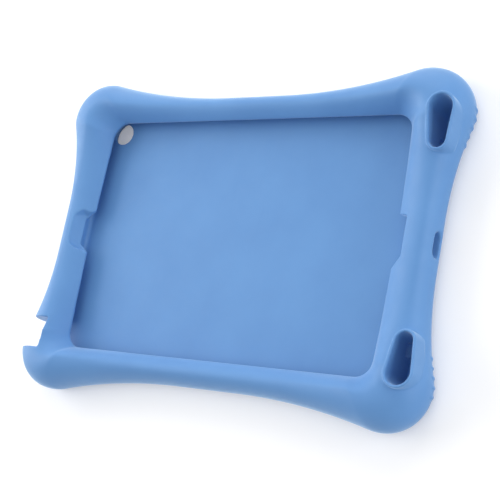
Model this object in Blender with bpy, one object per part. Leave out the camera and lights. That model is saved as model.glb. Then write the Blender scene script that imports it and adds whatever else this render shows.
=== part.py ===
# Kids tablet case: one silicone moulding with a pocket that a thin lip closes in.
# Metres, +Z out of the front, +X to the end with the two sound wells, +Y to the volume pad.
# The case lies on its back, centred on the origin, with its back face at Z = 0.

import math

import bmesh
import bpy
import numpy as np
from mathutils import Matrix

MM = 0.001

# Flat body that the pocket is moulded to hold, and the play round it
HELD_LENGTH = 250.6 * MM
HELD_WIDTH = 174.1 * MM
HELD_DEPTH = 7.5 * MM
HELD_CORNER = 10.0 * MM
POCKET_FIT = 0.3 * MM
POCKET_EDGE = 2.5 * MM

# Walls round the pocket at the waists, and how far the lobes swell beyond them
END_WALL = 14.2 * MM
SIDE_WALL = 8.75 * MM
BACK_WALL = 6.0 * MM
LOBE_SWELL_LENGTH = 9.1 * MM
LOBE_SWELL_WIDTH = 12.2 * MM
LOBE_RADIUS = 26.4 * MM
SHORT_SIDE_SWEEP = 214.0 * MM
LONG_SIDE_SWEEP = 390.0 * MM

# Cross section, at the waists and at the lobes. Heights count from under the lip.
CREST_WAIST = 8.6 * MM
CREST_LOBE = 17.5 * MM
SHOULDER_WAIST = 8.2 * MM
SHOULDER_LOBE = 20.6 * MM
WIDEST_WAIST = -5.6 * MM
WIDEST_LOBE = -2.3 * MM
BACK_EDGE_WAIST = 8.1 * MM
BACK_EDGE_LOBE = 4.8 * MM

# Lip that reaches in over the pocket, and the window that it leaves
LIP_REACH_END = 10.4 * MM
LIP_REACH_SIDE = 7.85 * MM
WINDOW_CORNER = 11.0 * MM
WINDOW_BOW = 1.3 * MM
LIP_TIP = 1.3 * MM
LIP_TRIM = 0.3 * MM

# Shallow recess in the back
BACK_RECESS_DEPTH = 2.8 * MM
BACK_RECESS_MARGIN = 23.0 * MM
BACK_RECESS_CORNER = 16.0 * MM

# Steps along the outline, across the section and round small arcs
WAIST_STEPS = 2
SWEEP_STEPS = 7
LOBE_STEPS = 14
BACK_STEPS = 5
SHOULDER_STEPS = 7
DOME_STEPS = 7
ARC_STEPS = 6
EDGE_STEPS = 3

# Egg shaped sound wells, measured from the pocket's end and side
WELL_OUTER_FROM_END = 11.95 * MM
WELL_OUTER_FROM_SIDE = 10.45 * MM
WELL_OUTER_RADIUS = 7.3 * MM
WELL_INNER_FROM_END = 11.25 * MM
WELL_INNER_FROM_SIDE = 28.45 * MM
WELL_INNER_RADIUS = 5.3 * MM
WELL_BASE = 5.8 * MM
WELL_DRAFT = 0.05

# Raised rim round each well, on a slope that climbs towards the lobe
BOSS_HEIGHT = 15.3 * MM
BOSS_SLOPE = 0.17
BOSS_RIM = 1.65 * MM
BOSS_DRAFT = 0.01
BOSS_ROOT = 2.0 * MM
BOSS_SOFTENING = 0.8 * MM
BOSS_EDGE_STEPS = 2

# Sound passages from the pocket into the wells
PASSAGE_FROM_WELL = 2.4 * MM
PASSAGE_WIDTH = 8.0 * MM
PASSAGE_HEIGHT = 5.4 * MM

# Charging slot through the end wall between the wells
PORT_CENTRE_Y = 0.8 * MM
PORT_RAISE = 0.55 * MM
PORT_LENGTH = 15.4 * MM
PORT_HEIGHT = 7.4 * MM
PORT_FLARE = 1.3 * MM
PORT_FLARE_DEPTH = 1.6 * MM

# Headphone slot, open to the side and the front and in to the pocket
JACK_SLOT_FROM_SIDE = 13.75 * MM
JACK_SLOT_WIDTH = 21.0 * MM
JACK_SLOT_BASE = 4.8 * MM
JACK_SLOT_OVERLAP = 0.5 * MM

# Lip notch at the -X end, and the sighting scoop that widens it
CAMERA_NOTCH_REACH = 7.2 * MM
CAMERA_NOTCH_CENTRE_Y = 0.6 * MM
CAMERA_NOTCH_WIDTH = 29.2 * MM
CAMERA_NOTCH_CHAMFER = 5.5 * MM
SCOOP_REACH = 12.8 * MM
SCOOP_SLOPE = 1.27
SCOOP_LIFT = 0.15 * MM
SCOOP_SOFTENING = 1.4 * MM
SCOOP_UPPER_FLARE = 2.24 * MM
SCOOP_LOWER_FLARE = 4.48 * MM
SCOOP_FLARE_AT_NOTCH = 1 / 3
SCOOP_FLARE_AT_WINDOW = -1 / 8

# Thumb notch in the lip at the +X end
HOME_NOTCH_REACH = 6.8 * MM
HOME_NOTCH_CENTRE_Y = 0.85 * MM
HOME_NOTCH_WIDTH = 32.7 * MM
HOME_NOTCH_TOP_RUN = 2.0 * MM
HOME_NOTCH_BOTTOM_RUN = 6.5 * MM

# Rear camera hole, measured from the pocket's end and side
REAR_CAMERA_FROM_END = 12.3 * MM
REAR_CAMERA_FROM_SIDE = 12.35 * MM
REAR_CAMERA_RADIUS = 6.5 * MM
REAR_CAMERA_FLARE = 0.5

# Grip ribs on the lower walls of the lobes
RIB_COUNT = 5
RIB_PITCH = 5.4 * MM
RIB_BELOW_LOBE = 7.6 * MM
RIB_RADIUS = 1.1 * MM
RIB_PROUD = 0.85 * MM
RIB_SINK = 0.4 * MM
RIB_LOW_TURN = -72.0
RIB_HIGH_TURN = -5.0
RIB_STEPS = 8
RIB_ROUND_STEPS = 2

# Press pads on the walls, measured from the pocket's end and side
PAD_PROUD = 0.4 * MM
PAD_ROOT = 5.0 * MM
PAD_HEIGHT = 5.0 * MM
VOLUME_PAD_FROM_END = 43.6 * MM
VOLUME_PAD_LENGTH = 28.0 * MM
POWER_PAD_FROM_SIDE = 21.35 * MM
POWER_PAD_LENGTH = 13.0 * MM

# Satin light blue silicone
SILICONE_COLOUR = (0.16, 0.34, 0.68, 1.0)
SILICONE_ROUGHNESS = 0.6
SILICONE_METALLIC = 0.0
SMOOTH_ANGLE = 35.0

# Sizes that follow from the ones above
POCKET_HALF_LENGTH = HELD_LENGTH / 2 + POCKET_FIT
POCKET_HALF_WIDTH = HELD_WIDTH / 2 + POCKET_FIT
POCKET_FLOOR = -(HELD_DEPTH + POCKET_FIT)
MID_POCKET = -HELD_DEPTH / 2
LIP_SEAT = BACK_WALL - POCKET_FLOOR
WAIST_HALF_LENGTH = POCKET_HALF_LENGTH + END_WALL
WAIST_HALF_WIDTH = POCKET_HALF_WIDTH + SIDE_WALL
LOBE_HALF_LENGTH = WAIST_HALF_LENGTH + LOBE_SWELL_LENGTH
LOBE_HALF_WIDTH = WAIST_HALF_WIDTH + LOBE_SWELL_WIDTH
LOBE_X = LOBE_HALF_LENGTH - LOBE_RADIUS
LOBE_Y = LOBE_HALF_WIDTH - LOBE_RADIUS
WINDOW_HALF_LENGTH = POCKET_HALF_LENGTH - LIP_REACH_END
WINDOW_HALF_WIDTH = POCKET_HALF_WIDTH - LIP_REACH_SIDE
WELL_OUTER_X = POCKET_HALF_LENGTH + WELL_OUTER_FROM_END
WELL_OUTER_Y = POCKET_HALF_WIDTH - WELL_OUTER_FROM_SIDE
WELL_INNER_X = POCKET_HALF_LENGTH + WELL_INNER_FROM_END
WELL_INNER_Y = POCKET_HALF_WIDTH - WELL_INNER_FROM_SIDE
WELL_FLOOR = WELL_BASE - LIP_SEAT
FULL_TURN = 2 * math.pi
QUARTER_TURN = math.pi / 2
CLEAR = CREST_LOBE + BOSS_HEIGHT
OVERCUT = 1.0 * MM
WELD = 0.00001
FLAT_ANGLE = 0.001


def clear_scene():
    for item in list(bpy.data.objects):
        bpy.data.objects.remove(item, do_unlink=True)


def new_collection(name):
    collection = bpy.data.collections.new(name)
    bpy.context.scene.collection.children.link(collection)
    return collection


def link_mesh(name, mesh, collection):
    item = bpy.data.objects.new(name, mesh)
    collection.objects.link(item)
    return item


def loft(name, loops, collection):
    # Join closed loops of equal length, from the lowest to the highest, and cap both ends.
    count = len(loops[0])
    vertices = [tuple(float(c) for c in point) for loop in loops for point in loop]
    faces = [tuple(range(count - 1, -1, -1))]
    for level in range(len(loops) - 1):
        low = level * count
        high = low + count
        for i in range(count):
            j = (i + 1) % count
            faces.append((low + i, low + j, high + j, high + i))
    top = (len(loops) - 1) * count
    faces.append(tuple(range(top, top + count)))
    mesh = bpy.data.meshes.new(name)
    mesh.from_pydata(vertices, [], faces)
    return link_mesh(name, mesh, collection)


def block(name, x_range, y_range, z_range, collection):
    # Cube primitive set between two corners.
    ranges = (x_range, y_range, z_range)
    centre = [(low + high) / 2 for low, high in ranges]
    sides = [high - low for low, high in ranges]
    shape = bmesh.new()
    place = Matrix.Translation(centre) @ Matrix.Diagonal((*sides, 1.0))
    bmesh.ops.create_cube(shape, size=1.0, matrix=place)
    mesh = bpy.data.meshes.new(name)
    shape.to_mesh(mesh)
    shape.free()
    return link_mesh(name, mesh, collection)


def curve_object(name, points, closed, collection):
    curve = bpy.data.curves.new(name, "CURVE")
    spline = curve.splines.new("POLY")
    spline.points.add(len(points) - 1)
    for point, place in zip(spline.points, points):
        point.co = (*place, 1.0)
    spline.use_cyclic_u = closed
    item = bpy.data.objects.new(name, curve)
    collection.objects.link(item)
    return item


def curve_to_mesh(item, collection):
    # Make the curve a closed mesh for Booleans, with its caps welded on and each left as one face.
    bpy.context.view_layer.update()
    graph = bpy.context.evaluated_depsgraph_get()
    mesh = bpy.data.meshes.new_from_object(item.evaluated_get(graph))
    shape = bmesh.new()
    shape.from_mesh(mesh)
    bmesh.ops.remove_doubles(shape, verts=shape.verts, dist=WELD)
    bmesh.ops.dissolve_limit(shape, angle_limit=FLAT_ANGLE, verts=shape.verts, edges=shape.edges)
    bmesh.ops.recalc_face_normals(shape, faces=shape.faces)
    shape.to_mesh(mesh)
    shape.free()
    name = item.name
    place = item.matrix_world.copy()
    bpy.data.objects.remove(item, do_unlink=True)
    solid = link_mesh(name, mesh, collection)
    solid.matrix_world = place
    return solid


def plate(name, outline, thickness, place, collection):
    # Flat outline, filled and thickened both ways from the middle plane that place sets.
    item = curve_object(name, [(x, y, 0.0) for x, y in outline], True, collection)
    item.data.dimensions = "2D"
    item.data.fill_mode = "BOTH"
    item.data.extrude = thickness / 2
    item.matrix_world = place
    return curve_to_mesh(item, collection)


def upright_plate(name, outline, low, high, collection):
    place = Matrix.Translation((0.0, 0.0, LIP_SEAT + (low + high) / 2))
    return plate(name, outline, high - low, place, collection)


def at_height(outline, height):
    return [(x, y, LIP_SEAT + height) for x, y in outline]


def arc(centre, radius, start, end, steps):
    angles = np.linspace(start, end, steps + 1)
    return [(centre[0] + radius * math.cos(a), centre[1] + radius * math.sin(a)) for a in angles]


def rounded_rectangle(half_length, half_width, radius):
    outline = []
    signs = ((1, 1), (-1, 1), (-1, -1), (1, -1))
    for quarter, (sx, sy) in enumerate(signs):
        centre = (sx * (half_length - radius), sy * (half_width - radius))
        start = quarter * QUARTER_TURN
        outline += arc(centre, radius, start, start + QUARTER_TURN, ARC_STEPS)
    return outline


def stadium(centre_x, centre_y, length, height):
    radius = height / 2
    reach = length / 2 - radius
    right = arc((centre_x + reach, centre_y), radius, -QUARTER_TURN, QUARTER_TURN, ARC_STEPS)
    left = arc((centre_x - reach, centre_y), radius, QUARTER_TURN, 3 * QUARTER_TURN, ARC_STEPS)
    return right + left


def sweep_angle(waist, sweep, lobe_out, lobe_along):
    # Angle that a hollow sweep turns through before it runs tangent into the lobe.
    out = waist + sweep - lobe_out
    along = math.sqrt((sweep + LOBE_RADIUS) ** 2 - out ** 2)
    return math.atan2(along, out), lobe_along - along


def window_edge(share):
    # Short edge of the window, bowed out between its corners.
    return WINDOW_HALF_LENGTH - WINDOW_BOW * share ** 2


def quarter_outline(trim=LIP_TRIM):
    # Outline points, outward normals and matching window points from +X round to +Y.
    # The window points stand in from the window edge by the trim.
    side_angle, side_start = sweep_angle(WAIST_HALF_LENGTH, SHORT_SIDE_SWEEP, LOBE_X, LOBE_Y)
    top_angle, top_start = sweep_angle(WAIST_HALF_WIDTH, LONG_SIDE_SWEEP, LOBE_Y, LOBE_X)
    window_y = WINDOW_HALF_WIDTH - trim
    corner = WINDOW_CORNER - trim
    corner_x = window_edge(1.0) - WINDOW_CORNER
    corner_y = WINDOW_HALF_WIDTH - WINDOW_CORNER
    side_end = side_start + SHORT_SIDE_SWEEP * math.sin(side_angle)
    top_end = top_start + LONG_SIDE_SWEEP * math.sin(top_angle)
    stations = []
    for k in range(WAIST_STEPS):
        y = side_start * k / WAIST_STEPS
        share = y / side_end
        stations.append((WAIST_HALF_LENGTH, y, 0.0, window_edge(share) - trim, share * corner_y))
    for k in range(SWEEP_STEPS):
        a = side_angle * k / SWEEP_STEPS
        x = WAIST_HALF_LENGTH + SHORT_SIDE_SWEEP * (1 - math.cos(a))
        y = side_start + SHORT_SIDE_SWEEP * math.sin(a)
        share = y / side_end
        stations.append((x, y, -a, window_edge(share) - trim, share * corner_y))
    turn = side_angle + QUARTER_TURN + top_angle
    for k in range(LOBE_STEPS + 1):
        a = turn * k / LOBE_STEPS - side_angle
        b = QUARTER_TURN * k / LOBE_STEPS
        x = LOBE_X + LOBE_RADIUS * math.cos(a)
        y = LOBE_Y + LOBE_RADIUS * math.sin(a)
        inner_x = corner_x + corner * math.cos(b)
        inner_y = corner_y + corner * math.sin(b)
        stations.append((x, y, a, inner_x, inner_y))
    for k in range(SWEEP_STEPS - 1, -1, -1):
        a = top_angle * k / SWEEP_STEPS
        x = top_start + LONG_SIDE_SWEEP * math.sin(a)
        y = WAIST_HALF_WIDTH + LONG_SIDE_SWEEP * (1 - math.cos(a))
        stations.append((x, y, QUARTER_TURN + a, x * corner_x / top_end, window_y))
    for k in range(WAIST_STEPS - 1, -1, -1):
        x = top_start * k / WAIST_STEPS
        stations.append((x, WAIST_HALF_WIDTH, QUARTER_TURN, x * corner_x / top_end, window_y))
    return stations


def full_outline(trim=LIP_TRIM):
    # Mirror the quarter into a whole loop, counter clockwise seen from the front.
    quarter = quarter_outline(trim)
    left = [(-x, y, math.pi - a, -u, v) for x, y, a, u, v in reversed(quarter[:-1])]
    upper = quarter + left
    lower = [(x, -y, -a, u, -v) for x, y, a, u, v in reversed(upper[1:-1])]
    return upper + lower


def swell(x, y):
    # Share of the way from waist to lobe, told by how far out the outline has moved.
    if abs(y) < LOBE_Y:
        return (abs(x) - WAIST_HALF_LENGTH) / LOBE_SWELL_LENGTH
    if abs(x) < LOBE_X:
        return (abs(y) - WAIST_HALF_WIDTH) / LOBE_SWELL_WIDTH
    return 1.0


def section(x, y):
    # Crest height, shoulder reach, widest height and back edge reach beside a point.
    s = swell(x, y)
    return (CREST_WAIST + (CREST_LOBE - CREST_WAIST) * s,
            SHOULDER_WAIST + (SHOULDER_LOBE - SHOULDER_WAIST) * s,
            WIDEST_WAIST + (WIDEST_LOBE - WIDEST_WAIST) * s,
            BACK_EDGE_WAIST + (BACK_EDGE_LOBE - BACK_EDGE_WAIST) * s)


def inward(station, distance):
    # Plan point at a distance from the outline, towards the matching window point.
    x, y, _, u, v = station
    span = math.hypot(u - x, v - y)
    return x + (u - x) * distance / span, y + (v - y) * distance / span


def wall_point(station, turn):
    # Point of the outer wall: turn runs from a quarter back at the back to a quarter at the crest.
    crest, shoulder, widest, back = section(station[0], station[1])
    if turn < 0:
        inset = back * (1 - math.cos(turn))
        height = widest + (widest + LIP_SEAT) * math.sin(turn)
    else:
        inset = shoulder * (1 - math.cos(turn))
        height = widest + (crest - widest) * math.sin(turn)
    x, y = inward(station, inset)
    return x, y, LIP_SEAT + height


def dome_point(station, share):
    # Point between the crest and the lip tip, on a slope that steepens to the window.
    x, y, z = wall_point(station, QUARTER_TURN)
    _, _, _, u, v = station
    drop = (z - LIP_SEAT - LIP_TIP) * share ** 2
    return x + (u - x) * share, y + (v - y) * share, z - drop


def frame_body(collection):
    # Loft the section round the outline, thin at the waists and full at the lobes.
    stations = full_outline()
    loops = []
    for k in range(BACK_STEPS + 1):
        turn = QUARTER_TURN * (k / BACK_STEPS - 1)
        loops.append([wall_point(s, turn) for s in stations])
    for k in range(1, SHOULDER_STEPS + 1):
        turn = QUARTER_TURN * k / SHOULDER_STEPS
        loops.append([wall_point(s, turn) for s in stations])
    for k in range(1, DOME_STEPS + 1):
        loops.append([dome_point(s, k / DOME_STEPS) for s in stations])
    return loft("silicone_case", loops, collection)


def pocket(collection):
    # Space of the held body, with the softened edge that its back has.
    loops = []
    for k in range(EDGE_STEPS + 1):
        a = QUARTER_TURN * k / EDGE_STEPS
        inset = POCKET_EDGE * (1 - math.sin(a))
        height = POCKET_FLOOR + POCKET_EDGE * (1 - math.cos(a))
        corner = HELD_CORNER + POCKET_FIT - inset
        outline = rounded_rectangle(POCKET_HALF_LENGTH - inset, POCKET_HALF_WIDTH - inset, corner)
        loops.append(at_height(outline, height))
    loops.append([(x, y, LIP_SEAT) for x, y, _ in loops[-1]])
    return loft("pocket", loops, collection)


def window_opening(collection):
    outline = [(u, v) for _, _, _, u, v in full_outline(0.0)]
    return upright_plate("window_opening", outline, -OVERCUT, CLEAR, collection)


def back_recess(collection):
    # Shallow hollow with drafted walls that keeps the back wall even.
    half_length = POCKET_HALF_LENGTH - BACK_RECESS_MARGIN
    half_width = POCKET_HALF_WIDTH - BACK_RECESS_MARGIN
    loops = []
    for depth in (-BACK_RECESS_DEPTH, BACK_RECESS_DEPTH):
        outline = rounded_rectangle(half_length - depth, half_width - depth,
                                    BACK_RECESS_CORNER - depth)
        loops.append(at_height(outline, depth - LIP_SEAT))
    return loft("back_recess", loops, collection)


def rear_camera_hole(collection):
    # Cone that opens outward so the wall stays out of view.
    low = -OVERCUT
    high = BACK_WALL + OVERCUT
    wide = REAR_CAMERA_RADIUS + REAR_CAMERA_FLARE * (high - low)
    x = REAR_CAMERA_FROM_END - POCKET_HALF_LENGTH
    y = POCKET_HALF_WIDTH - REAR_CAMERA_FROM_SIDE
    shape = bmesh.new()
    bmesh.ops.create_cone(shape, cap_ends=True, segments=4 * ARC_STEPS, radius1=wide,
                          radius2=REAR_CAMERA_RADIUS, depth=high - low,
                          matrix=Matrix.Translation((x, y, (low + high) / 2)))
    mesh = bpy.data.meshes.new("rear_camera_hole")
    shape.to_mesh(mesh)
    shape.free()
    return link_mesh("rear_camera_hole", mesh, collection)


def well_outline(sign, grow):
    # Egg shape: a large and a small arc joined by their tangents.
    ax, ay, ra = WELL_OUTER_X, sign * WELL_OUTER_Y, WELL_OUTER_RADIUS + grow
    bx, by, rb = WELL_INNER_X, sign * WELL_INNER_Y, WELL_INNER_RADIUS + grow
    span = math.hypot(bx - ax, by - ay)
    heading = math.atan2(ay - by, ax - bx)
    spread = math.acos((rb - ra) / span)
    outline = arc((ax, ay), ra, heading - spread, heading + spread, 2 * ARC_STEPS)
    outline += arc((bx, by), rb, heading + spread, heading + FULL_TURN - spread, ARC_STEPS)
    return outline


def under_rim(outline, drop):
    # Lift an outline to the rim plane, which climbs towards the lobe, or below it.
    return [(x, y, LIP_SEAT + BOSS_HEIGHT + BOSS_SLOPE * (abs(y) - WELL_INNER_Y) - drop)
            for x, y in outline]


def well_boss(name, sign, collection):
    # Rim that stands proud of the lobe round a sound well, with a rounded outer edge.
    root = BOSS_RIM + BOSS_DRAFT * (BOSS_HEIGHT - BOSS_ROOT)
    loops = [at_height(well_outline(sign, root), BOSS_ROOT)]
    for k in range(BOSS_EDGE_STEPS + 1):
        a = QUARTER_TURN * k / BOSS_EDGE_STEPS
        grow = BOSS_RIM - BOSS_SOFTENING * (1 - math.cos(a))
        loops.append(under_rim(well_outline(sign, grow), BOSS_SOFTENING * (1 - math.sin(a))))
    return loft(name, loops, collection)


def sound_well(name, sign, collection):
    shrink = WELL_DRAFT * (BOSS_HEIGHT - WELL_FLOOR)
    loops = [at_height(well_outline(sign, -shrink), WELL_FLOOR),
             under_rim(well_outline(sign, WELL_DRAFT * OVERCUT), -OVERCUT)]
    return loft(name, loops, collection)


def sound_passage(name, sign, collection):
    near = sign * (WELL_INNER_Y - PASSAGE_FROM_WELL)
    far = near + sign * PASSAGE_WIDTH
    xs = (POCKET_HALF_LENGTH - OVERCUT, WELL_INNER_X)
    middle = LIP_SEAT + MID_POCKET
    zs = (middle - PASSAGE_HEIGHT / 2, middle + PASSAGE_HEIGHT / 2)
    return block(name, xs, (min(near, far), max(near, far)), zs, collection)


def port_slot(collection):
    # Slot through the end wall, flared where it meets the outside.
    height = MID_POCKET + PORT_RAISE
    slot = stadium(PORT_CENTRE_Y, height, PORT_LENGTH, PORT_HEIGHT)
    flared = stadium(PORT_CENTRE_Y, height, PORT_LENGTH + 2 * PORT_FLARE,
                     PORT_HEIGHT + 2 * PORT_FLARE)
    places = ((POCKET_HALF_LENGTH - OVERCUT, slot),
              (WAIST_HALF_LENGTH - PORT_FLARE_DEPTH, slot),
              (WAIST_HALF_LENGTH + OVERCUT / 2, flared))
    loops = [[(x, y, LIP_SEAT + z) for y, z in outline] for x, outline in places]
    return loft("port_slot", loops, collection)


def jack_slot(collection):
    # Channel with a floor, open to the side and the front.
    centre = JACK_SLOT_FROM_SIDE - POCKET_HALF_WIDTH
    half = JACK_SLOT_WIDTH / 2
    xs = (-LOBE_HALF_LENGTH - OVERCUT, JACK_SLOT_OVERLAP - POCKET_HALF_LENGTH)
    zs = (JACK_SLOT_BASE, LIP_SEAT + CLEAR)
    return block("jack_slot", xs, (centre - half, centre + half), zs, collection)


def camera_notch(collection):
    # Notch in the lip with its inner corners cut off.
    edge = -WINDOW_HALF_LENGTH
    deep = edge - CAMERA_NOTCH_REACH
    cut = CAMERA_NOTCH_CHAMFER
    top = CAMERA_NOTCH_CENTRE_Y + CAMERA_NOTCH_WIDTH / 2
    bottom = CAMERA_NOTCH_CENTRE_Y - CAMERA_NOTCH_WIDTH / 2
    outline = [(edge + OVERCUT, top), (edge, top), (deep, top - cut), (deep, bottom + cut),
               (edge, bottom), (edge + OVERCUT, bottom)]
    return upright_plate("camera_notch", outline, -OVERCUT, CLEAR, collection)


def camera_scoop(collection):
    # Ramp that rises from the notch to the crest and narrows on its way up.
    edge = -WINDOW_HALF_LENGTH
    deep = edge - CAMERA_NOTCH_REACH
    end = edge - SCOOP_REACH
    soft = SCOOP_SOFTENING
    top = CAMERA_NOTCH_CENTRE_Y + CAMERA_NOTCH_WIDTH / 2
    bottom = CAMERA_NOTCH_CENTRE_Y - CAMERA_NOTCH_WIDTH / 2
    base = LIP_TIP + SCOOP_LIFT
    crown = base + SCOOP_SLOPE * (deep - end)
    # Place, height and how far each row has narrowed, from the crest to the window.
    rows = ((end, crown, 1 + 2 * soft / SCOOP_UPPER_FLARE),
            (end + soft, crown - SCOOP_SLOPE * soft, 1),
            (deep, base, SCOOP_FLARE_AT_NOTCH),
            (edge + OVERCUT, base, SCOOP_FLARE_AT_WINDOW))
    loops = []
    for x, z, narrow in rows:
        low = bottom + SCOOP_LOWER_FLARE * narrow
        high = top - SCOOP_UPPER_FLARE * narrow
        loops.append([(x, low, LIP_SEAT + z), (x, high, LIP_SEAT + z),
                      (x, high, LIP_SEAT + CLEAR), (x, low, LIP_SEAT + CLEAR)])
    return loft("camera_scoop", loops, collection)


def home_notch(collection):
    edge = WINDOW_HALF_LENGTH
    deep = edge + HOME_NOTCH_REACH
    top = HOME_NOTCH_CENTRE_Y + HOME_NOTCH_WIDTH / 2
    bottom = HOME_NOTCH_CENTRE_Y - HOME_NOTCH_WIDTH / 2
    outline = [(edge - OVERCUT, bottom), (edge, bottom), (deep, bottom + HOME_NOTCH_BOTTOM_RUN),
               (deep, top - HOME_NOTCH_TOP_RUN), (edge, top), (edge - OVERCUT, top)]
    return upright_plate("home_notch", outline, -OVERCUT, CLEAR, collection)


def station_at(axis, value):
    # Station of the quarter outline at a distance along one axis, 0 for X and 1 for Y.
    stations = quarter_outline()
    if axis == 0:
        stations.reverse()
    for low, high in zip(stations, stations[1:]):
        if low[axis] <= value <= high[axis]:
            share = (value - low[axis]) / (high[axis] - low[axis])
            return tuple(p + (q - p) * share for p, q in zip(low, high))
    return stations[-1]


def grip_rib(name, sx, sy, y, collection):
    # Round rail that follows the lower wall and sinks into it at both ends.
    station = station_at(1, y)
    path = []
    for k in range(RIB_STEPS + 1):
        share = k / RIB_STEPS
        turn = math.radians(RIB_LOW_TURN + (RIB_HIGH_TURN - RIB_LOW_TURN) * share)
        x, wall_y, z = wall_point(station, turn)
        rise = math.sqrt(max(math.sin(math.pi * share), 0.0))
        out = (RIB_PROUD + RIB_SINK) * rise - RIB_SINK - RIB_RADIUS
        path.append((sx * (x + out * math.cos(turn)), sy * wall_y, z + out * math.sin(turn)))
    rail = curve_object(name, path, False, collection)
    rail.data.dimensions = "3D"
    rail.data.bevel_depth = RIB_RADIUS
    rail.data.bevel_resolution = RIB_ROUND_STEPS
    rail.data.use_fill_caps = True
    return curve_to_mesh(rail, collection)


def grip_ribs(collection):
    # Row of ribs, spread evenly about its middle, on each lobe that the headphone slot leaves whole.
    ribs = []
    for lobe, sx, sy in (("upper_right", 1, 1), ("lower_right", 1, -1), ("upper_left", -1, 1)):
        for k in range(RIB_COUNT):
            y = LOBE_Y - RIB_BELOW_LOBE + (k - (RIB_COUNT - 1) / 2) * RIB_PITCH
            ribs.append(grip_rib("%s_rib_%d" % (lobe, k), sx, sy, y, collection))
    return ribs


def press_pad(name, station, length, collection):
    # Low stadium on the wall of the -X, +Y quarter, square to the wall at a station.
    x, y, a, _, _ = station
    middle = (PAD_PROUD - PAD_ROOT) / 2
    across = (-math.sin(a), -math.cos(a), 0.0)
    outward = (-math.cos(a), math.sin(a), 0.0)
    centre = (-x + middle * outward[0], y + middle * outward[1], LIP_SEAT + MID_POCKET)
    place = Matrix((across, (0.0, 0.0, 1.0), outward)).transposed().to_4x4()
    place.translation = centre
    outline = stadium(0.0, 0.0, length, PAD_HEIGHT)
    return plate(name, outline, PAD_PROUD + PAD_ROOT, place, collection)


def combine(target, tool, operation):
    modifier = target.modifiers.new(tool.name, "BOOLEAN")
    modifier.object = tool
    modifier.operation = operation
    modifier.solver = "EXACT"


def smooth_by_angle(target):
    # Shade every face smooth and keep the edges sharper than the angle crisp.
    tree = bpy.data.node_groups.new("smooth_by_angle", "GeometryNodeTree")
    tree.interface.new_socket("Geometry", in_out="INPUT", socket_type="NodeSocketGeometry")
    tree.interface.new_socket("Geometry", in_out="OUTPUT", socket_type="NodeSocketGeometry")
    start = tree.nodes.new("NodeGroupInput")
    end = tree.nodes.new("NodeGroupOutput")
    soft = tree.nodes.new("GeometryNodeSetShadeSmooth")
    crisp = tree.nodes.new("GeometryNodeSetShadeSmooth")
    crisp.domain = "EDGE"
    crisp.inputs["Shade Smooth"].default_value = False
    angle = tree.nodes.new("GeometryNodeInputMeshEdgeAngle")
    steep = tree.nodes.new("FunctionNodeCompare")
    steep.operation = "GREATER_THAN"
    steep.inputs[1].default_value = math.radians(SMOOTH_ANGLE)
    tree.links.new(start.outputs[0], soft.inputs["Geometry"])
    tree.links.new(soft.outputs["Geometry"], crisp.inputs["Geometry"])
    tree.links.new(angle.outputs["Unsigned Angle"], steep.inputs[0])
    tree.links.new(steep.outputs["Result"], crisp.inputs["Selection"])
    tree.links.new(crisp.outputs["Geometry"], end.inputs[0])
    modifier = target.modifiers.new("smooth_by_angle", "NODES")
    modifier.node_group = tree


def silicone(name):
    material = bpy.data.materials.new(name)
    material.use_nodes = True
    shader = material.node_tree.nodes["Principled BSDF"]
    shader.inputs["Base Color"].default_value = SILICONE_COLOUR
    shader.inputs["Roughness"].default_value = SILICONE_ROUGHNESS
    shader.inputs["Metallic"].default_value = SILICONE_METALLIC
    return material


def build():
    clear_scene()
    parts = new_collection("kids_tablet_case")
    cutters = new_collection("cutters")
    body = frame_body(parts)
    volume = station_at(0, POCKET_HALF_LENGTH - VOLUME_PAD_FROM_END)
    power = station_at(1, POCKET_HALF_WIDTH - POWER_PAD_FROM_SIDE)
    added = [well_boss("upper_boss", 1, cutters), well_boss("lower_boss", -1, cutters)]
    added += grip_ribs(cutters)
    added.append(press_pad("volume_pad", volume, VOLUME_PAD_LENGTH, cutters))
    added.append(press_pad("power_pad", power, POWER_PAD_LENGTH, cutters))
    removed = [pocket(cutters), window_opening(cutters), back_recess(cutters),
               rear_camera_hole(cutters), sound_well("upper_well", 1, cutters),
               sound_well("lower_well", -1, cutters), sound_passage("upper_passage", 1, cutters),
               sound_passage("lower_passage", -1, cutters), port_slot(cutters),
               jack_slot(cutters), camera_notch(cutters), camera_scoop(cutters),
               home_notch(cutters)]
    for tool in added:
        combine(body, tool, "UNION")
    for tool in removed:
        combine(body, tool, "DIFFERENCE")
    for tool in added + removed:
        tool.hide_render = True
        tool.display_type = "WIRE"
    smooth_by_angle(body)
    body.data.materials.append(silicone("blue_silicone"))


build()
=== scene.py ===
import math

import bpy
import numpy as np
from mathutils import Matrix


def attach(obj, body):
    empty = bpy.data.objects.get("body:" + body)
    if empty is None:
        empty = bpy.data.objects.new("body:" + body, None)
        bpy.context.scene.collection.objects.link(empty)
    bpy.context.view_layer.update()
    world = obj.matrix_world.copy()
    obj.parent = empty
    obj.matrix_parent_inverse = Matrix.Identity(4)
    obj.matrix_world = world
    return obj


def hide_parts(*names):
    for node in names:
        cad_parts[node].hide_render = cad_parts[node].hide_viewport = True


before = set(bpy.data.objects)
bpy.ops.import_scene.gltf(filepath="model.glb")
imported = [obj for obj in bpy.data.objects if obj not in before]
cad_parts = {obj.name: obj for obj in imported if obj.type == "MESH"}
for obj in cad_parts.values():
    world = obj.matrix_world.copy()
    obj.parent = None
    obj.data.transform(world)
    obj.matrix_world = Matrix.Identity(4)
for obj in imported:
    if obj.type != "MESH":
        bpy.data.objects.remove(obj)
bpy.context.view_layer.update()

# The blue silicone. The whole case is one shot of soft satin silicone, coloured right through. Its
# skin is matte with a faint bloom that pales the edges, and has very fine grain from the blasted
# mould and slow drifts in tone and gloss.
SILICONE_BLUE = (0.109, 0.276, 0.580)
SILICONE_DEEPER = (0.103, 0.264, 0.563)
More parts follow.
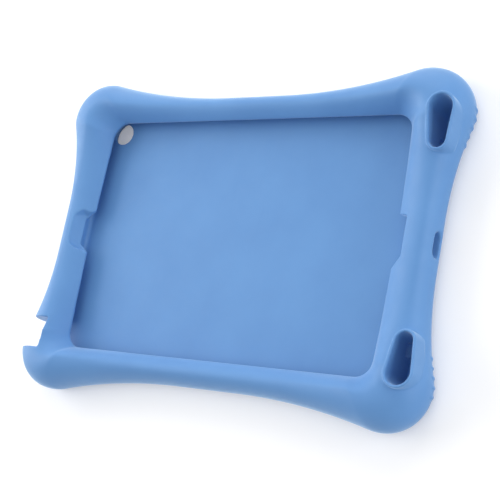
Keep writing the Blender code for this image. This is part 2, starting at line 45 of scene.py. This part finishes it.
SILICONE_PALER = (0.115, 0.288, 0.597)
CLOUDS_PER_METRE = 28.0
CLOUD_DETAIL = 4.0
SMEARS_PER_METRE = 160.0
GRAIN_PER_METRE = 2600.0
FINE_DETAIL = 3.0
NOISE_LOW = 0.3
NOISE_HIGH = 0.7
SMOOTHEST = 0.50
ROUGHEST = 0.60
GRAIN_STRENGTH = 0.22
GRAIN_DEPTH = 0.00012
SILICONE_IOR = 1.45
BLOOM = 0.92
BLOOM_SPREAD = 0.33
BLOOM_TINT = (0.62, 0.81, 1.0, 1.0)


def link(tree, source, output, target, entry):
    tree.links.new(source.outputs[output], target.inputs[entry])


def noise(tree, place, scale, detail):
    node = tree.nodes.new("ShaderNodeTexNoise")
    node.inputs["Scale"].default_value = scale
    node.inputs["Detail"].default_value = detail
    link(tree, place, "Object", node, "Vector")
    return node


def spread(tree, source, low, high):
    # Noise sits near the middle of its range, so that part of it is stretched from low to high.
    node = tree.nodes.new("ShaderNodeMapRange")
    node.inputs["From Min"].default_value = NOISE_LOW
    node.inputs["From Max"].default_value = NOISE_HIGH
    node.inputs["To Min"].default_value = low
    node.inputs["To Max"].default_value = high
    link(tree, source, "Fac", node, "Value")
    return node


def satin_silicone(name):
    material = bpy.data.materials.new(name)
    material.use_nodes = True
    tree = material.node_tree
    shader = tree.nodes["Principled BSDF"]
    place = tree.nodes.new("ShaderNodeTexCoord")
    clouds = noise(tree, place, CLOUDS_PER_METRE, CLOUD_DETAIL)
    tone = tree.nodes.new("ShaderNodeValToRGB")
    ramp = tone.color_ramp.elements
    for end, position, colour in ((0, NOISE_LOW, SILICONE_DEEPER), (1, NOISE_HIGH, SILICONE_PALER)):
        ramp[end].position = position
        ramp[end].color = (*colour, 1.0)
    ramp.new((NOISE_LOW + NOISE_HIGH) / 2).color = (*SILICONE_BLUE, 1.0)
    link(tree, clouds, "Fac", tone, "Fac")
    link(tree, tone, "Color", shader, "Base Color")
    smears = noise(tree, place, SMEARS_PER_METRE, FINE_DETAIL)
    gloss = spread(tree, smears, SMOOTHEST, ROUGHEST)
    link(tree, gloss, "Result", shader, "Roughness")
    grain = noise(tree, place, GRAIN_PER_METRE, FINE_DETAIL)
    bump = tree.nodes.new("ShaderNodeBump")
    bump.inputs["Strength"].default_value = GRAIN_STRENGTH
    bump.inputs["Distance"].default_value = GRAIN_DEPTH
    link(tree, grain, "Fac", bump, "Height")
    link(tree, bump, "Normal", shader, "Normal")
    shader.inputs["IOR"].default_value = SILICONE_IOR
    shader.inputs["Sheen Weight"].default_value = BLOOM
    shader.inputs["Sheen Roughness"].default_value = BLOOM_SPREAD
    shader.inputs["Sheen Tint"].default_value = BLOOM_TINT
    return material


blue_silicone = satin_silicone("blue_silicone")

# The frame. A fat soft bumper runs round the case, slim at the four waists and swollen into a round
# lobe at each corner, all moulded in one. Its back is flat, its wall is full and round, and a
# hollow slope leads down to the thin lip. Heights count from the lip's underside.
MM = 0.001
LIP_SEAT = 13.8 * MM
WAIST_X = 139.8 * MM
WAIST_Y = 96.1 * MM
SWELL_X = 9.1 * MM
SWELL_Y = 12.17 * MM
LOBE_RADIUS = 26.4 * MM
LOBE_X = WAIST_X + SWELL_X - LOBE_RADIUS
LOBE_Y = WAIST_Y + SWELL_Y - LOBE_RADIUS
SHORT_SWEEP = 214.0 * MM
LONG_SWEEP = 390.0 * MM
WINDOW_X = 115.2 * MM
WINDOW_Y = 79.5 * MM
WINDOW_CORNER = 11.0 * MM
WINDOW_BOW = 1.3 * MM
LIP_TIP = 1.3 * MM
LIP_TRIM = 0.3 * MM
# Each pair is the size at a waist and the size at a lobe.
CREST = np.array([8.6, 17.5]) * MM
SHOULDER = np.array([8.2, 20.6]) * MM
WIDEST = np.array([-5.6, -2.3]) * MM
BACK_EDGE = np.array([8.1, 4.8]) * MM
FINE = 2
WAIST_STEPS = 6 * FINE
SWEEP_STEPS = 14 * FINE
LOBE_STEPS = 22 * FINE
LOW_WALL_STEPS = 10 * FINE
HIGH_WALL_STEPS = 12 * FINE
SLOPE_STEPS = 12 * FINE
QUARTER = math.pi / 2


def sweep_angle(waist, sweep, lobe_out, lobe_along):
    """Angle that a hollow arc turns through from the waist to the lobe's arc, and where it starts:
    the two centres are the sum of the radii apart."""
    out = waist + sweep - lobe_out
    along = math.sqrt((sweep + LOBE_RADIUS) ** 2 - out ** 2)
    return math.atan2(along, out), lobe_along - along


def frame_outline(trim):
    """Plan of the frame as columns x, y and the matching window point u, v. A quarter is a straight
    run, a hollow arc, the lobe's arc, a hollow arc and a straight run laid end to end, then
    mirrored twice."""
    side_angle, side_start = sweep_angle(WAIST_X, SHORT_SWEEP, LOBE_X, LOBE_Y)
    top_angle, top_start = sweep_angle(WAIST_Y, LONG_SWEEP, LOBE_Y, LOBE_X)
    corner_x = WINDOW_X - WINDOW_BOW - WINDOW_CORNER
    corner_y = WINDOW_Y - WINDOW_CORNER
    side_end = side_start + SHORT_SWEEP * math.sin(side_angle)
    top_end = top_start + LONG_SWEEP * math.sin(top_angle)
    waist = np.linspace(0.0, 1.0, WAIST_STEPS, endpoint=False)
    sweep = np.linspace(0.0, 1.0, SWEEP_STEPS, endpoint=False)
    lobe = np.linspace(0.0, 1.0, LOBE_STEPS + 1)

    def side_window(y):
        share = y / side_end
        return WINDOW_X - WINDOW_BOW * share ** 2 - trim, share * corner_y

    y1 = side_start * waist
    u1, v1 = side_window(y1)
    x2 = WAIST_X + SHORT_SWEEP * (1 - np.cos(side_angle * sweep))
    y2 = side_start + SHORT_SWEEP * np.sin(side_angle * sweep)
    u2, v2 = side_window(y2)
    a = (side_angle + QUARTER + top_angle) * lobe - side_angle
    x3 = LOBE_X + LOBE_RADIUS * np.cos(a)
    y3 = LOBE_Y + LOBE_RADIUS * np.sin(a)
    u3 = corner_x + (WINDOW_CORNER - trim) * np.cos(QUARTER * lobe)
    v3 = corner_y + (WINDOW_CORNER - trim) * np.sin(QUARTER * lobe)
    back = 1.0 - sweep - sweep[1]
    x4 = top_start + LONG_SWEEP * np.sin(top_angle * back)
    y4 = WAIST_Y + LONG_SWEEP * (1 - np.cos(top_angle * back))
    x5 = top_start * (1.0 - waist - waist[1])
    v45 = np.full(len(x4) + len(x5), WINDOW_Y - trim)
    x = np.concatenate([np.full_like(y1, WAIST_X), x2, x3, x4, x5])
    y = np.concatenate([y1, y2, y3, y4, np.full_like(x5, WAIST_Y)])
    u = np.concatenate([u1, u2, u3, x4 * corner_x / top_end, x5 * corner_x / top_end])
    v = np.concatenate([v1, v2, v3, v45])
    quarter = np.stack([x, y, u, v], axis=1)
    upper = np.concatenate([quarter, quarter[:-1][::-1] * (-1, 1, -1, 1)])
    return np.concatenate([upper, upper[1:-1][::-1] * (1, -1, 1, -1)])


def swell(x, y):
    """Share of the way from waist to lobe: how far out the outline has moved, over the whole
    swelling."""
    beside = (np.abs(x) - WAIST_X) / SWELL_X
    above = (np.abs(y) - WAIST_Y) / SWELL_Y
    return np.where(np.abs(y) < LOBE_Y, beside, np.where(np.abs(x) < LOBE_X, above, 1.0))


def wall_rows(stations, turn):
    """Outer wall as two quarter ovals: turn runs from a quarter back at the back face to a quarter
    at the crest, the inset is reach times one less cosine, and the height is widest plus rise times
    sine."""
    x, y, u, v = stations.T[:, None, :]
    s = swell(x, y)
    crest, shoulder, widest, edge = (
        waist + (lobe - waist) * s for waist, lobe in (CREST, SHOULDER, WIDEST, BACK_EDGE))
    turn = turn[:, None]
    low = turn < 0
    inset = np.where(low, edge, shoulder) * (1 - np.cos(turn))
    height = widest + np.where(low, widest + LIP_SEAT, crest - widest) * np.sin(turn)
    share = inset / np.hypot(u - x, v - y)
    return np.stack([x + (u - x) * share, y + (v - y) * share, LIP_SEAT + height], axis=-1)


def slope_rows(stations, share):
    """Hollow slope from the crest to the lip: the plan point runs straight to the window, and the
    drop grows with the square of the share of the way."""
    crest = wall_rows(stations, np.array([QUARTER]))
    share = share[:, None, None]
    window = stations[None, :, 2:]
    plan = crest[..., :2] + (window - crest[..., :2]) * share
    z = crest[..., 2:] - (crest[..., 2:] - LIP_SEAT - LIP_TIP) * share ** 2
    return np.concatenate([plan, z], axis=-1)


def shell(name, rows):
    """Closed skin through equal rings of points: each ring is joined to the next, and both ends are
    capped."""
    count, around = rows.shape[:2]
    number = np.arange(count * around).reshape(count, around)
    after = np.roll(number, -1, axis=1)
    quads = np.stack([number[:-1], after[:-1], after[1:], number[1:]], axis=-1).reshape(-1, 4)
    faces = quads.tolist() + [number[0, ::-1].tolist(), number[-1].tolist()]
    mesh = bpy.data.meshes.new(name)
    mesh.from_pydata(rows.reshape(-1, 3).tolist(), [], faces)
    item = bpy.data.objects.new(name, mesh)
    bpy.context.scene.collection.objects.link(item)
    return item


stations = frame_outline(LIP_TRIM)
bumper = shell("bumper", np.concatenate([
    wall_rows(stations, QUARTER * np.linspace(-1.0, 0.0, LOW_WALL_STEPS + 1)),
    wall_rows(stations, QUARTER * np.linspace(0.0, 1.0, HIGH_WALL_STEPS + 1)[1:]),
    slope_rows(stations, np.linspace(0.0, 1.0, SLOPE_STEPS + 1)[1:])]))
added = []
removed = []

# The sound wells. Two egg shaped chimneys are moulded proud of the +X lobes on a slanted rim and
# run deep into the silicone, so that sound leaves forwards. The rim is a soft band under two
# millimetres wide, and a short passage joins each well to the pocket.
WELL_OUTER = (137.55 * MM, 76.9 * MM, 7.3 * MM)
WELL_INNER = (136.85 * MM, 58.9 * MM, 5.3 * MM)
WELL_OUTER_STEPS = 24 * FINE
WELL_INNER_STEPS = 16 * FINE
WELL_FLOOR = -8.0 * MM
WELL_DRAFT = 0.05
RIM_HEIGHT = 15.3 * MM
RIM_SLOPE = 0.17
RIM_BAND = 1.65 * MM
RIM_DRAFT = 0.01
RIM_ROOT = 2.0 * MM
RIM_ROUNDING = 0.8 * MM
PASSAGE_X = (124.6 * MM, WELL_INNER[0])
PASSAGE_Y = (56.5 * MM, 64.5 * MM)
PASSAGE_Z = (-6.45 * MM, -1.05 * MM)
OVERRUN = 1.0 * MM
EDGE_TURNS = np.linspace(0.0, QUARTER, 6)


def bend(centre, radius, start, end, steps):
    """Arc: the centre plus the radius along each of the evenly spaced angles from start to end."""
    angle = np.linspace(start, end, steps + 1)
    x = centre[0] + radius * np.cos(angle)
    return np.stack([x, centre[1] + radius * np.sin(angle)], axis=1)


def egg(sign, grow):
    """A large and a small arc joined by their common tangents, grown outwards by a distance."""
    ax, ay, ra = WELL_OUTER[0], sign * WELL_OUTER[1], WELL_OUTER[2] + grow
    bx, by, rb = WELL_INNER[0], sign * WELL_INNER[1], WELL_INNER[2] + grow
    heading = math.atan2(ay - by, ax - bx)
    half = math.acos((rb - ra) / math.hypot(bx - ax, by - ay))
    outer = bend((ax, ay), ra, heading - half, heading + half, WELL_OUTER_STEPS)
    inner = bend((bx, by), rb, heading + half, heading + 4 * QUARTER - half, WELL_INNER_STEPS)
    return np.concatenate([outer, inner])


def level(plan, height):
    """Points of a plan, all at one height over the lip's underside."""
    return np.concatenate([plan, np.broadcast_to(LIP_SEAT + height, (len(plan), 1))], axis=1)


def below_rim(plan, drop):
    """Points of a plan on the slanted rim, which climbs with distance from the middle, or a drop
    below it."""
    height = RIM_HEIGHT + RIM_SLOPE * (np.abs(plan[:, 1]) - WELL_INNER[1]) - drop
    return np.concatenate([plan, LIP_SEAT + height[:, None]], axis=1)


def prism(name, plan, bottom, top):
    """Plan carried straight up from one height to another."""
    return shell(name, np.stack([level(plan, bottom), level(plan, top)]))


def block(name, x, y, z):
    plan = np.array([[x[0], y[0]], [x[1], y[0]], [x[1], y[1]], [x[0], y[1]]])
    return prism(name, plan, *z)


for side, sign in (("upper", 1), ("lower", -1)):
    rim = [level(egg(sign, RIM_BAND + RIM_DRAFT * (RIM_HEIGHT - RIM_ROOT)), RIM_ROOT)]
    hole = [level(egg(sign, -WELL_DRAFT * (RIM_HEIGHT - WELL_FLOOR)), WELL_FLOOR)]
    for t in EDGE_TURNS:
        drawn, drop = RIM_ROUNDING * (1 - math.cos(t)), RIM_ROUNDING * (1 - math.sin(t))
        rim.append(below_rim(egg(sign, RIM_BAND - drawn), drop))
        hole.append(below_rim(egg(sign, drawn), drop))
    hole.append(below_rim(egg(sign, RIM_ROUNDING), -OVERRUN))
    added.append(shell(side + "_rim", np.stack(rim)))
    removed.append(shell(side + "_well", np.stack(hole)))
    passage_y = sorted(sign * y for y in PASSAGE_Y)
    removed.append(block(side + "_passage", PASSAGE_X, passage_y, PASSAGE_Z))

# The grip ribs. Short round bars stand in a row on the lower wall of three lobes, moulded in one
# with it, so that small fingers hold on. Each follows the wall and fades into it at both ends.
RIB_COUNT = 5
RIB_PITCH = 5.4 * MM
RIB_BELOW_LOBE = 7.6 * MM
RIB_RADIUS = 1.1 * MM
RIB_PROUD = 0.85 * MM
RIB_SINK = 0.4 * MM
RIB_LOW_END = -72.0
RIB_SPAN = 67.0
RIB_STEPS = 12 * FINE
RIB_SIDES = 12 * FINE

first_quarter = stations[:len(stations) // 4 + 1]


def rib(name, sx, sy, y):
    """Round rod along the wall: its centre line stands off the wall by a root of a sine, so its
    ends sink in."""
    rising = first_quarter[:int(np.argmax(first_quarter[:, 1])) + 1]
    station = np.array([[np.interp(y, rising[:, 1], rising[:, c]) for c in range(4)]])
    share = np.linspace(0.0, 1.0, RIB_STEPS + 1)
    turn = np.radians(RIB_LOW_END + RIB_SPAN * share)
    spine = wall_rows(station, turn)[:, 0]
    arch = np.sqrt(np.clip(np.sin(math.pi * share), 0.0, 1.0))
    off = (RIB_PROUD + RIB_SINK) * arch - RIB_SINK - RIB_RADIUS
    ring = np.linspace(0.0, 4 * QUARTER, RIB_SIDES, endpoint=False)
    reach = off[:, None] + RIB_RADIUS * np.cos(ring)
    x = spine[:, :1] + reach * np.cos(turn)[:, None]
    z = spine[:, 2:] + reach * np.sin(turn)[:, None]
    across = spine[:, 1:2] + RIB_RADIUS * np.sin(ring)
    rows = np.stack([sx * x, sy * across, z], axis=-1)
    return shell(name, rows if sx * sy > 0 else rows[:, ::-1])


for sx, sy in ((1, 1), (1, -1), (-1, 1)):
    for k in range(RIB_COUNT):
        y = LOBE_Y - RIB_BELOW_LOBE + (k - (RIB_COUNT - 1) / 2) * RIB_PITCH
        added.append(rib("rib_%d_%d_%d" % (sx, sy, k), sx, sy, y))

# The press pads. A low round ended pad is moulded on the upper wall and one on the end wall, where
# a finger presses through the silicone.
PAD_PROUD = 0.4 * MM
PAD_ROOT = 5.0 * MM
PAD_HEIGHT = 5.0 * MM
PAD_LEVEL = -3.75 * MM
PAD_EDGE = 0.3 * MM
UPPER_PAD_FROM_MIDDLE = 82.0 * MM
UPPER_PAD_LENGTH = 28.0 * MM
END_PAD_FROM_MIDDLE = 66.0 * MM
END_PAD_LENGTH = 13.0 * MM
ROUND_END_STEPS = 12 * FINE


def stadium(centre, length, height):
    """Two half circles and the straights between them, counter clockwise."""
    x, y = centre
    reach = (length - height) / 2
    right = bend((x + reach, y), height / 2, -QUARTER, QUARTER, ROUND_END_STEPS)
    left = bend((x - reach, y), height / 2, QUARTER, 3 * QUARTER, ROUND_END_STEPS)
    return np.concatenate([right, left])


def pad(name, x, y, angle, length):
    """Stadium carried square to the wall from its root to its face, with a small bevel round the
    face."""
    outward = np.array([math.cos(angle), math.sin(angle), 0.0])
    along = np.array([-math.sin(angle), math.cos(angle), 0.0])
    rows = []
    for out, drawn in ((-PAD_ROOT, 0.0), (PAD_PROUD - PAD_EDGE, 0.0), (PAD_PROUD, PAD_EDGE)):
        plan = stadium((0.0, PAD_LEVEL), length - 2 * drawn, PAD_HEIGHT - 2 * drawn)
        middle = np.array([x, y, LIP_SEAT]) + out * outward
        rows.append(middle + plan[:, :1] * along + plan[:, 1:] * np.array([0.0, 0.0, 1.0]))
    return shell(name, np.stack(rows))


def outline_at(column, value):
    """Point and outward angle of the first quarter of the outline at a given x (column 0) or y
    (column 1)."""
    near = int(np.argmin(np.abs(first_quarter[:, column] - value)))
    ahead = first_quarter[min(near + 1, len(first_quarter) - 1), :2]
    step = ahead - first_quarter[near - 1, :2]
    return first_quarter[near, 0], first_quarter[near, 1], math.atan2(-step[0], step[1])


for name, column, place, length in (
        ("upper_pad", 0, UPPER_PAD_FROM_MIDDLE, UPPER_PAD_LENGTH),
        ("end_pad", 1, END_PAD_FROM_MIDDLE, END_PAD_LENGTH)):
    x, y, angle = outline_at(column, place)
    added.append(pad(name, -x, y, math.pi - angle, length))

# The pocket, the window and the back. The pocket is a shallow tray with round corners moulded under
# the lip, the window leaves the lip standing in over its rim, and the flat back has a shallow panel
# and a round hole.
POCKET_X = 125.6 * MM
POCKET_Y = 87.35 * MM
POCKET_FLOOR = -7.8 * MM
POCKET_EDGE = 2.5 * MM
POCKET_CORNER = 10.3 * MM
RECESS_X = 102.6 * MM
RECESS_Y = 64.35 * MM
RECESS_CORNER = 16.0 * MM
RECESS_DEPTH = 2.8 * MM
LENS_PLACE = (-113.3 * MM, 75.0 * MM)
LENS_RADIUS = 6.5 * MM
LENS_FLARE = 0.5
LENS_SIDES = 48
CORNER_STEPS = 10 * FINE
CLEAR = 33.3 * MM


def rounded(half_x, half_y, radius):
    """Rectangle with round corners, counter clockwise from +X."""
    return np.concatenate([
        bend((sx * (half_x - radius), sy * (half_y - radius)), radius,
             turn * QUARTER, (turn + 1) * QUARTER, CORNER_STEPS)
        for turn, (sx, sy) in enumerate(((1, 1), (-1, 1), (-1, -1), (1, -1)))])


tray = []
for t in EDGE_TURNS:
    inset = POCKET_EDGE * (1 - math.sin(t))
    plan = rounded(POCKET_X - inset, POCKET_Y - inset, POCKET_CORNER - inset)
    tray.append(level(plan, POCKET_FLOOR + POCKET_EDGE * (1 - math.cos(t))))
tray.append(level(plan, 0.0))
removed.append(shell("pocket", np.stack(tray)))
removed.append(prism("window", frame_outline(0.0)[:, 2:], -OVERRUN, CLEAR))
removed.append(shell("back_panel", np.stack([
    level(rounded(RECESS_X - d, RECESS_Y - d, RECESS_CORNER - d), d - LIP_SEAT)
    for d in (-RECESS_DEPTH, RECESS_DEPTH)])))
cone = []
for z in (-LIP_SEAT - OVERRUN, POCKET_FLOOR + OVERRUN):
    radius = LENS_RADIUS + LENS_FLARE * (POCKET_FLOOR + OVERRUN - z)
    cone.append(level(bend(LENS_PLACE, radius, 0.0, 4 * QUARTER, LENS_SIDES)[:-1], z))
removed.append(shell("lens_hole", np.stack(cone)))

# The plug slots. A round ended slot with a flared mouth goes through the middle of the end wall,
# and a wide square channel is cut down through one lobe. Both are left open by the mould.
PORT_MIDDLE = (0.8 * MM, -3.2 * MM)
PORT_LENGTH = 15.4 * MM
PORT_HEIGHT = 7.4 * MM
PORT_START = 124.6 * MM
PORT_FLARE = 1.3 * MM
PORT_FLARE_DEPTH = 1.6 * MM
PORT_MOUTH_SPARE = 0.4 * MM
CHANNEL_X = (-149.9 * MM, -125.1 * MM)
CHANNEL_Y = (-84.1 * MM, -63.1 * MM)
CHANNEL_FLOOR = -9.0 * MM


def port_ring(x, grow):
    """Stadium that stands across the end wall at one x, grown outwards by a distance."""
    plan = stadium(PORT_MIDDLE, PORT_LENGTH + 2 * grow, PORT_HEIGHT + 2 * grow)
    across = np.full((len(plan), 1), x)
    return np.concatenate([across, plan[:, :1], LIP_SEAT + plan[:, 1:]], axis=1)


mouth = [(PORT_START, 0.0)]
mouth += [(WAIST_X - PORT_FLARE_DEPTH + PORT_FLARE * math.sin(t), PORT_FLARE * (1 - math.cos(t)))
          for t in EDGE_TURNS]
mouth.append((WAIST_X + OVERRUN, PORT_FLARE + PORT_MOUTH_SPARE))
removed.append(shell("port_slot", np.stack([port_ring(x, grow) for x, grow in mouth])))
removed.append(block("channel", CHANNEL_X, CHANNEL_Y, (CHANNEL_FLOOR, CLEAR)))

# The lip's notches. The lip is cut back with slanted corners at the middle of each short side. From
# the -X notch a ramp is scooped out of the slope up to the crest, with a leaning upper wall.
CAMERA_NOTCH_TOP = 15.2 * MM
CAMERA_NOTCH_BOTTOM = -14.0 * MM
CAMERA_NOTCH_REACH = 7.2 * MM
CAMERA_NOTCH_CUT = 5.5 * MM
SCOOP_REACH = 12.8 * MM
SCOOP_SLOPE = 1.27
SCOOP_BASE = LIP_TIP + 0.15 * MM
SCOOP_UPPER = 2.24 * MM
SCOOP_LOWER = 4.48 * MM
SCOOP_SOFT = 1.4 * MM
SCOOP_LEAN = 2.4 * MM
SCOOP_CLIMB = 4.0 * MM
NARROW_AT_NOTCH = 1 / 3
NARROW_AT_WINDOW = -1 / 8
THUMB_NOTCH_TOP = 17.2 * MM
THUMB_NOTCH_BOTTOM = -15.5 * MM
THUMB_NOTCH_REACH = 6.8 * MM
THUMB_NOTCH_TOP_CUT = 2.0 * MM
THUMB_NOTCH_BOTTOM_CUT = 6.5 * MM

edge, deep = -WINDOW_X, -WINDOW_X - CAMERA_NOTCH_REACH
top, bottom, cut = CAMERA_NOTCH_TOP, CAMERA_NOTCH_BOTTOM, CAMERA_NOTCH_CUT
notch = np.array([(edge + OVERRUN, top), (edge, top), (deep, top - cut),
                  (deep, bottom + cut), (edge, bottom), (edge + OVERRUN, bottom)])
removed.append(prism("camera_notch", notch, -OVERRUN, CLEAR))
end = edge - SCOOP_REACH
crown = SCOOP_BASE + SCOOP_SLOPE * (deep - end)
ramp = []
for x, z, narrow in (
        (end, crown, 1 + 2 * SCOOP_SOFT / SCOOP_UPPER),
        (end + SCOOP_SOFT, crown - SCOOP_SLOPE * SCOOP_SOFT, 1.0),
        (deep, SCOOP_BASE, NARROW_AT_NOTCH),
        (edge + OVERRUN, SCOOP_BASE, NARROW_AT_WINDOW)):
    y0, y1 = bottom + SCOOP_LOWER * narrow, top - SCOOP_UPPER * narrow
    z0, z1 = LIP_SEAT + z, LIP_SEAT + CLEAR
    ramp.append([(x, y0, z0), (x, y1 - SCOOP_LEAN, z0), (x, y1, z0 + SCOOP_CLIMB),
                 (x, y1, z1), (x, y0, z1)])
removed.append(shell("sight_ramp", np.array(ramp)))
edge, deep = WINDOW_X, WINDOW_X + THUMB_NOTCH_REACH
top, bottom = THUMB_NOTCH_TOP, THUMB_NOTCH_BOTTOM
notch = np.array([(edge - OVERRUN, bottom), (edge, bottom), (deep, bottom + THUMB_NOTCH_BOTTOM_CUT),
                  (deep, top - THUMB_NOTCH_TOP_CUT), (edge, top), (edge - OVERRUN, top)])
removed.append(prism("thumb_notch", notch, -OVERRUN, CLEAR))

# The finished moulding. Silicone comes out of the mould with every edge slightly round and a small
# fillet in every corner, so the joined shape is skinned again finely and relaxed before it is
# coloured.
SKIN_VOXEL = 0.55 * MM
RELAX_SHARE = 0.5
RELAX_ROUNDS = 7
MOST_TRIANGLES = 190000


def settled(item):
    """Mesh of an object with its modifiers carried out."""
    bpy.context.view_layer.update()
    graph = bpy.context.evaluated_depsgraph_get()
    return bpy.data.meshes.new_from_object(item.evaluated_get(graph))


for tools, operation in ((added, "UNION"), (removed, "DIFFERENCE")):
    for tool in tools:
        join = bumper.modifiers.new(tool.name, "BOOLEAN")
        join.object = tool
        join.operation = operation
        join.solver = "EXACT"
skin = bumper.modifiers.new("skin", "REMESH")
skin.mode = "VOXEL"
skin.voxel_size = SKIN_VOXEL
relax = bumper.modifiers.new("relax", "SMOOTH")
relax.factor = RELAX_SHARE
relax.iterations = RELAX_ROUNDS
case = bpy.data.objects.new("moulded_case", settled(bumper))
bpy.context.scene.collection.objects.link(case)
for tool in added + removed + [bumper]:
    bpy.data.objects.remove(tool, do_unlink=True)
case.data.calc_loop_triangles()
fewer = case.modifiers.new("fewer", "DECIMATE")
fewer.ratio = min(1.0, MOST_TRIANGLES / len(case.data.loop_triangles))
case.data = settled(case)
case.modifiers.clear()
case.data.shade_smooth()
case.data.materials.clear()
case.data.materials.append(blue_silicone)
print("moulded_case", len(case.data.polygons), "faces")
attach(case, "root")
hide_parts("silicone_case")

# The studio floor. A seamless pale paper sheet lies under the case and keeps its soft shadow. Seen
# from the camera it brightens with distance from the case, until it meets the white air far behind.
FLOOR_HALF = 3.0
FLOOR_LINES = 13
FLOOR_LEVEL = -0.0004
FLOOR_WHITE = (0.84, 0.84, 0.85, 1.0)
FLOOR_LIFT = 0.22
FLOOR_LIFT_FAR = 1.0
LIFT_STARTS = 0.30
LIFT_ENDS = 1.60
PAPER_ROUGHNESS = 0.9
PAPER_GLOSS = 0.1
WHITE = (1.0, 1.0, 1.0, 1.0)

line = np.linspace(-FLOOR_HALF, FLOOR_HALF, FLOOR_LINES)
gx, gy = np.meshgrid(line, line, indexing="ij")
sheet = np.stack([gx, gy, np.full_like(gx, FLOOR_LEVEL)], axis=-1).reshape(-1, 3)
cell = np.arange(FLOOR_LINES ** 2).reshape(FLOOR_LINES, FLOOR_LINES)
squares = np.stack([cell[:-1, :-1], cell[1:, :-1], cell[1:, 1:], cell[:-1, 1:]], axis=-1)
floor_mesh = bpy.data.meshes.new("studio_floor")
floor_mesh.from_pydata(sheet.tolist(), [], squares.reshape(-1, 4).tolist())
floor = bpy.data.objects.new("studio_floor", floor_mesh)
bpy.context.scene.collection.objects.link(floor)
paper = bpy.data.materials.new("studio_paper")
paper.use_nodes = True
tree = paper.node_tree
shader = tree.nodes["Principled BSDF"]
shader.inputs["Base Color"].default_value = FLOOR_WHITE
shader.inputs["Roughness"].default_value = PAPER_ROUGHNESS
shader.inputs["Specular IOR Level"].default_value = PAPER_GLOSS
path = tree.nodes.new("ShaderNodeLightPath")
spot = tree.nodes.new("ShaderNodeTexCoord")
distance = tree.nodes.new("ShaderNodeVectorMath")
distance.operation = "LENGTH"
link(tree, spot, "Object", distance, 0)
rise = tree.nodes.new("ShaderNodeMapRange")
rise.inputs["From Min"].default_value = LIFT_STARTS
rise.inputs["From Max"].default_value = LIFT_ENDS
rise.inputs["To Min"].default_value = FLOOR_LIFT
rise.inputs["To Max"].default_value = FLOOR_LIFT_FAR
link(tree, distance, "Value", rise, "Value")
lift = tree.nodes.new("ShaderNodeMath")
lift.operation = "MULTIPLY"
link(tree, rise, "Result", lift, 0)
link(tree, path, "Is Camera Ray", lift, 1)
shader.inputs["Emission Color"].default_value = WHITE
link(tree, lift, "Value", shader, "Emission Strength")
floor.data.materials.append(paper)

# The studio light. It comes softly from large panels low at the far side, left and right, with a
# weak one overhead. The air fills in evenly, and looks white to the camera and in reflections.
AIR_FILL = 0.54
# Each panel has its place, the length of its side in metres, and its power in watts.
PANELS = {"far_panel": ((-0.10, 1.20, 0.60), 1.2, 9.0),
          "left_panel": ((-1.25, 0.10, 0.62), 1.1, 13.0),
          "right_panel": ((1.30, 0.05, 0.12), 1.0, 11.0),
          "high_panel": ((0.20, -0.30, 1.60), 1.2, 3.0)}

for name, (place, size, power) in PANELS.items():
    lamp = bpy.data.lights.new(name, "AREA")
    lamp.shape = "SQUARE"
    lamp.size = size
    lamp.energy = power
    panel = bpy.data.objects.new(name, lamp)
    bpy.context.scene.collection.objects.link(panel)
    panel.location = place
    toward = -panel.location.normalized()
    panel.rotation_euler = toward.to_track_quat("-Z", "Y").to_euler()
world = bpy.data.worlds.new("studio_air")
world.use_nodes = True
tree = world.node_tree
air = tree.nodes["Background"]
air.inputs["Color"].default_value = WHITE
path = tree.nodes.new("ShaderNodeLightPath")
seen = tree.nodes.new("ShaderNodeMath")
seen.operation = "MAXIMUM"
link(tree, path, "Is Camera Ray", seen, 0)
link(tree, path, "Is Glossy Ray", seen, 1)
strength = tree.nodes.new("ShaderNodeMapRange")
strength.inputs["To Min"].default_value = AIR_FILL
link(tree, seen, "Value", strength, "Value")
link(tree, strength, "Result", air, "Strength")
bpy.context.scene.world = world
bpy.context.scene.view_settings.view_transform = "Standard"

# The camera. It stands in front of the case, below and to the right of it, a long way off, and its
# three axes and its place are given in the case's own frame.
CAMERA_LENS = 83.885
CAMERA_SENSOR = 36.0
CAMERA_PLACE = (0.41509, -0.16885, 0.59355)
RIGHTWARD = (0.83265978, 0.18779789, -0.52096990)
UPWARD = (-0.03432176, 0.95643601, 0.28991754)
BACKWARD = (0.55272028, -0.22352207, 0.80283135)

camera_data = bpy.data.cameras.new("camera")
camera_data.lens = CAMERA_LENS
camera_data.sensor_width = CAMERA_SENSOR
camera = bpy.data.objects.new("camera", camera_data)
bpy.context.scene.collection.objects.link(camera)
stance = Matrix((RIGHTWARD, UPWARD, BACKWARD)).transposed().to_4x4()
stance.translation = CAMERA_PLACE
camera.matrix_world = stance
bpy.context.scene.camera = camera
